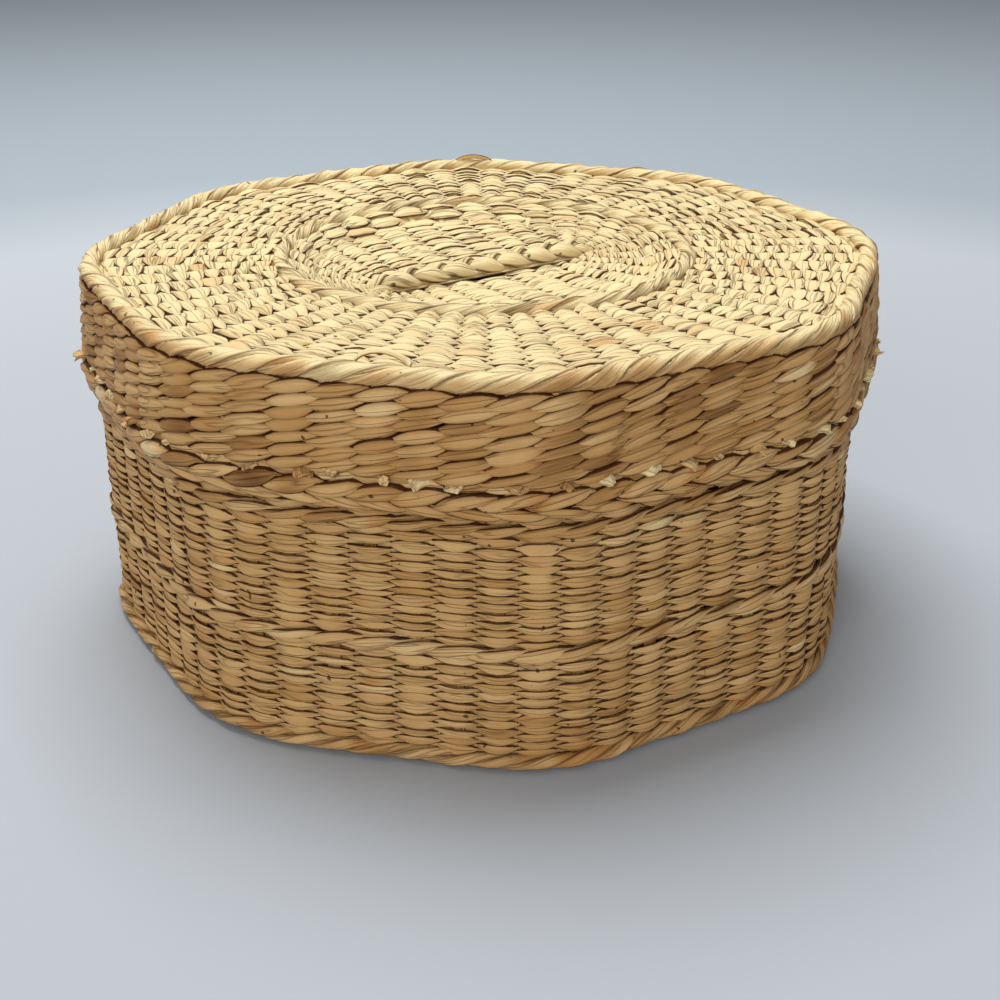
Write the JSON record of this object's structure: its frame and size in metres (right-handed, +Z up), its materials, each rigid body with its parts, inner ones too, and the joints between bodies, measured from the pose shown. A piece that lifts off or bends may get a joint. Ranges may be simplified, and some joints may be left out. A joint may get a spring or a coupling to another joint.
{
  "type": "tortilla warmer",
  "caption": "Woven eight-sided lidded basket for keeping a stack of tortillas warm; the deep woven lid lifts straight off the rim.",
  "frame": {"origin": "middle of the base on the surface that the basket stands on", "axes": "+Z up through the lid; +X and +Y square to two of the eight flats"},
  "size_m": [0.2454, 0.2454, 0.1138],
  "materials": {
    "strip_weave": "matte dried plant strip, natural tan",
    "lid_weave": "matte dried plant strip, pale straw",
    "twined_rope": "dried plant strip with a slight sheen, golden straw",
    "stakes": "matte dried plant strip, shaded brown"
  },
  "bodies": {
    "basket": {"base_centre_braid": "twined_rope", "base_inner_stakes": "stakes", "base_inner_weave": "strip_weave", "base_ring_rope": "twined_rope", "base_outer_weave": "strip_weave", "base_edge_rope": "twined_rope", "basket_stakes": "stakes", "wall_lower_weave": "strip_weave", "wall_middle_rope": "twined_rope", "wall_upper_weave": "strip_weave", "wall_neck_rope": "twined_rope", "wall_rim_weave": "strip_weave", "rim_border": "twined_rope"},
    "lid": {"lid_centre_braid": "twined_rope", "lid_inner_stakes": "stakes", "lid_inner_weave": "lid_weave", "lid_ring_rope": "twined_rope", "lid_outer_weave": "lid_weave", "lid_edge_rope": "twined_rope", "lid_stakes": "stakes", "lid_side_weave": "strip_weave", "lid_stake_ends": "stakes", "lid_border_rope": "twined_rope", "lid_hem_rope": "twined_rope"}
  },
  "joints": [
    {"name": "lid_lift", "type": "slide", "parent": "basket", "child": "lid", "axis": [0, 0, 1], "range_m": [0, 0.15]}
  ]
}
